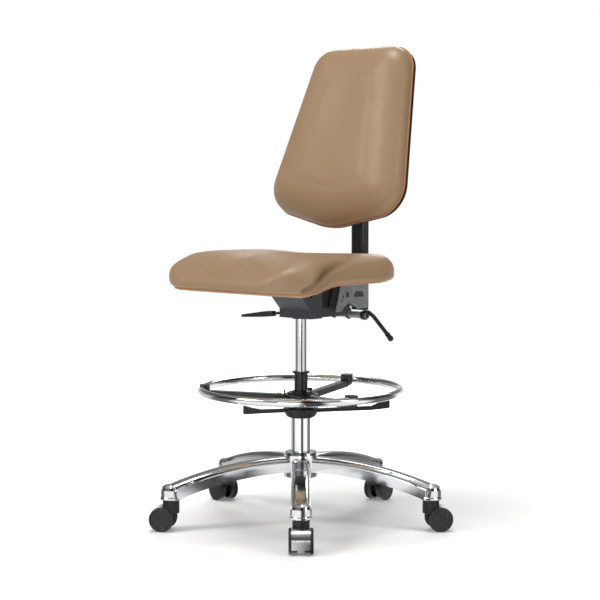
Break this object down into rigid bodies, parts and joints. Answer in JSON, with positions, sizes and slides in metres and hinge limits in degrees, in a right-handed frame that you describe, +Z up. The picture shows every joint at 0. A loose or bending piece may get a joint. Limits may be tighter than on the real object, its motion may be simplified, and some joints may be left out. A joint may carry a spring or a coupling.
{
  "type": "adjustable swivel stool",
  "caption": "Bench-height swivel work stool: contoured upholstered seat, reclining backrest on an oval upright, gas lift, adjustable foot ring, arched star base on casters.",
  "frame": {"origin": "on the floor, on the gas column's axis", "axes": "+Z up along the gas column; the seat faces -Y; the user's left is +X"},
  "size_m": [0.7289, 0.7193, 1.1845],
  "materials": {
    "polished_base": "polished",
    "chrome_steel": "polished",
    "chrome_hood": "polished",
    "bare_steel": "satin",
    "zinc_steel": "satin",
    "grey_steel": "satin",
    "black_steel": "satin",
    "black_plastic": "satin",
    "wheel_nylon": "satin",
    "plywood": "matte",
    "tan_vinyl": "satin"
  },
  "bodies": {
    "base": {"base_star": "polished_base", "column_tube": "chrome_steel", "column_guide": "black_plastic", "thrust_bearing": "bare_steel", "caster_stems": "bare_steel"},
    "spindle": {"piston_rod": "bare_steel", "rod_clip": "bare_steel"},
    "lift": {"pressure_tube": "chrome_steel", "mech_housing": "grey_steel", "seat_plate": "black_steel", "seat_bolts": "zinc_steel", "seat_tee_nuts": "zinc_steel", "seat_board": "plywood", "seat_cushion": "tan_vinyl", "brake_plates": "black_steel", "pivot_pin": "zinc_steel"},
    "valve": {"valve_pin": "bare_steel"},
    "height_lever": {"height_lever_rod": "black_steel", "height_lever_paddle": "black_plastic"},
    "back_lever": {"lock_shaft": "zinc_steel", "back_lever_rod": "black_steel", "back_lever_knob": "black_plastic"},
    "back_frame": {"back_bracket": "zinc_steel", "back_upright": "black_steel", "upright_bolts": "zinc_steel"},
    "backrest": {"back_sleeve": "black_plastic", "back_shell": "black_plastic", "back_board": "plywood", "back_cushion": "tan_vinyl"},
    "collet": {"ring_collet": "black_plastic"},
    "ring": {"ring_hub": "black_plastic", "ring_spokes": "black_steel", "ring_screws": "zinc_steel", "foot_ring": "chrome_steel"},
    "nut": {"lock_nut": "black_plastic"},
    "caster_1": {"caster_1_housing": "black_plastic", "caster_1_hood": "chrome_hood", "caster_1_axle": "bare_steel"},
    "caster_1_a": {"caster_1_wheel_a": "wheel_nylon"},
    "caster_1_b": {"caster_1_wheel_b": "wheel_nylon"},
    "caster_2": {"caster_2_housing": "black_plastic", "caster_2_hood": "chrome_hood", "caster_2_axle": "bare_steel"},
    "caster_2_a": {"caster_2_wheel_a": "wheel_nylon"},
    "caster_2_b": {"caster_2_wheel_b": "wheel_nylon"},
    "caster_3": {"caster_3_housing": "black_plastic", "caster_3_hood": "chrome_hood", "caster_3_axle": "bare_steel"},
    "caster_3_a": {"caster_3_wheel_a": "wheel_nylon"},
    "caster_3_b": {"caster_3_wheel_b": "wheel_nylon"},
    "caster_4": {"caster_4_housing": "black_plastic", "caster_4_hood": "chrome_hood", "caster_4_axle": "bare_steel"},
    "caster_4_a": {"caster_4_wheel_a": "wheel_nylon"},
    "caster_4_b": {"caster_4_wheel_b": "wheel_nylon"},
    "caster_5": {"caster_5_housing": "black_plastic", "caster_5_hood": "chrome_hood", "caster_5_axle": "bare_steel"},
    "caster_5_a": {"caster_5_wheel_a": "wheel_nylon"},
    "caster_5_b": {"caster_5_wheel_b": "wheel_nylon"}
  },
  "joints": [
    {"name": "seat_swivel", "type": "hinge", "parent": "base", "child": "spindle", "pos_m": [0, 0, 0.09], "axis": [0, 0, 1], "continuous": true},
    {"name": "seat_height", "type": "slide", "parent": "spindle", "child": "lift", "axis": [0, 0, 1], "range_m": [-0.075, 0.075]},
    {"name": "height_lever_lift", "type": "hinge", "parent": "lift", "child": "height_lever", "pos_m": [-0.044, 0, 0.52], "axis": [0, 1, 0], "range_deg": [0, 5], "stiffness_Nm_per_rad": 2, "springref_deg": -5.73},
    {"name": "valve_press", "type": "slide", "parent": "lift", "child": "valve", "axis": [0, 0, -1], "range_m": [0, 0.0036]},
    {"name": "back_lock_turn", "type": "hinge", "parent": "lift", "child": "back_lever", "pos_m": [0, 0.15, 0.509], "axis": [-1, 0, 0], "range_deg": [0, 35]},
    {"name": "back_angle", "type": "hinge", "parent": "lift", "child": "back_frame", "pos_m": [0, 0.112, 0.54], "axis": [-1, 0, 0], "range_deg": [-8, 10]},
    {"name": "back_height", "type": "slide", "parent": "back_frame", "child": "backrest", "axis": [0, 0.304, 0.9527], "range_m": [-0.04, 0.06]},
    {"name": "footring_height", "type": "slide", "parent": "base", "child": "collet", "axis": [0, 0, 1], "range_m": [-0.07, 0.015]},
    {"name": "footring_turn", "type": "hinge", "parent": "collet", "child": "ring", "pos_m": [0, 0, 0.31], "axis": [0, 0, 1], "continuous": true},
    {"name": "footring_lock_turn", "type": "hinge", "parent": "collet", "child": "nut", "pos_m": [0, 0, 0.28], "axis": [0, 0, 1], "range_deg": [0, 120]},
    {"name": "caster_1_swivel", "type": "hinge", "parent": "base", "child": "caster_1", "pos_m": [0.22506, -0.24135, 0.066], "axis": [0, 0, 1], "continuous": true},
    {"name": "caster_1_spin_a", "type": "hinge", "parent": "caster_1", "child": "caster_1_a", "pos_m": [0.2387, -0.25597, 0.03], "axis": [0.7314, 0.682, 0], "continuous": true},
    {"name": "caster_1_spin_b", "type": "hinge", "parent": "caster_1", "child": "caster_1_b", "pos_m": [0.2387, -0.25597, 0.03], "axis": [0.7314, 0.682, 0], "continuous": true},
    {"name": "caster_2_swivel", "type": "hinge", "parent": "base", "child": "caster_2", "pos_m": [0.29908, 0.13946, 0.066], "axis": [0, 0, 1], "continuous": true},
    {"name": "caster_2_spin_a", "type": "hinge", "parent": "caster_2", "child": "caster_2_a", "pos_m": [0.31167, 0.15501, 0.03], "axis": [-0.7771, 0.6293, 0], "continuous": true},
    {"name": "caster_2_spin_b", "type": "hinge", "parent": "caster_2", "child": "caster_2_b", "pos_m": [0.31167, 0.15501, 0.03], "axis": [-0.7771, 0.6293, 0], "continuous": true},
    {"name": "caster_3_swivel", "type": "hinge", "parent": "base", "child": "caster_3", "pos_m": [-0.04022, 0.32754, 0.066], "axis": [0, 0, 1], "continuous": true},
    {"name": "caster_3_spin_a", "type": "hinge", "parent": "caster_3", "child": "caster_3_a", "pos_m": [-0.04265, 0.34739, 0.03], "axis": [-0.9925, -0.1219, 0], "continuous": true},
    {"name": "caster_3_spin_b", "type": "hinge", "parent": "caster_3", "child": "caster_3_b", "pos_m": [-0.04265, 0.34739, 0.03], "axis": [-0.9925, -0.1219, 0], "continuous": true},
    {"name": "caster_4_swivel", "type": "hinge", "parent": "base", "child": "caster_4", "pos_m": [-0.32394, 0.06297, 0.066], "axis": [0, 0, 1], "continuous": true},
    {"name": "caster_4_spin_a", "type": "hinge", "parent": "caster_4", "child": "caster_4_a", "pos_m": [-0.34357, 0.06678, 0.03], "axis": [-0.1908, -0.9816, 0], "continuous": true},
    {"name": "caster_4_spin_b", "type": "hinge", "parent": "caster_4", "child": "caster_4_b", "pos_m": [-0.34357, 0.06678, 0.03], "axis": [-0.1908, -0.9816, 0], "continuous": true},
    {"name": "caster_5_swivel", "type": "hinge", "parent": "base", "child": "caster_5", "pos_m": [-0.15999, -0.28863, 0.066], "axis": [0, 0, 1], "continuous": true},
    {"name": "caster_5_spin_a", "type": "hinge", "parent": "caster_5", "child": "caster_5_a", "pos_m": [-0.17637, -0.3001, 0.03], "axis": [0.5736, -0.8192, 0], "continuous": true},
    {"name": "caster_5_spin_b", "type": "hinge", "parent": "caster_5", "child": "caster_5_b", "pos_m": [-0.17637, -0.3001, 0.03], "axis": [0.5736, -0.8192, 0], "continuous": true}
  ],
  "couplings": [
    {"joint": "valve_press", "follows": "height_lever_lift", "m_per_rad": 0.04}
  ]
}
